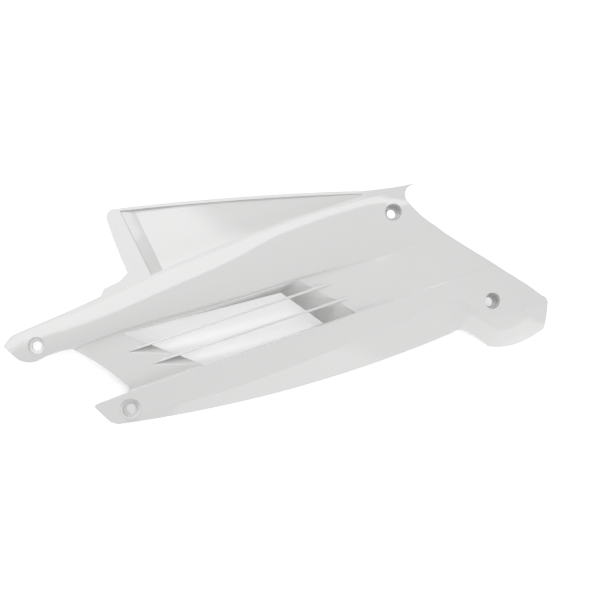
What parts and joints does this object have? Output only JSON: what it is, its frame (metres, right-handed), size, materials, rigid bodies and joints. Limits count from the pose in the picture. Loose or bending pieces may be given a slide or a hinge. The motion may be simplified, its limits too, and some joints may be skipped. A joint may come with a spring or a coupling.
{
  "type": "scooter engine side fairing",
  "caption": "Glossy white moulded side panel for a scooter engine, with two long arms, a louvred window, a recessed wing tray and countersunk screw pockets.",
  "frame": {"origin": "middle of the panel's box, on the plane it lies on with its outer face up", "axes": "+X along the louvre blades towards the wide foot end, +Y across towards the wing, +Z out of the outer face"},
  "size_m": [0.4822, 0.2364, 0.0564],
  "materials": {
    "shell": "gloss"
  },
  "bodies": {
    "root": {"side_fairing": "shell"}
  },
  "joints": []
}
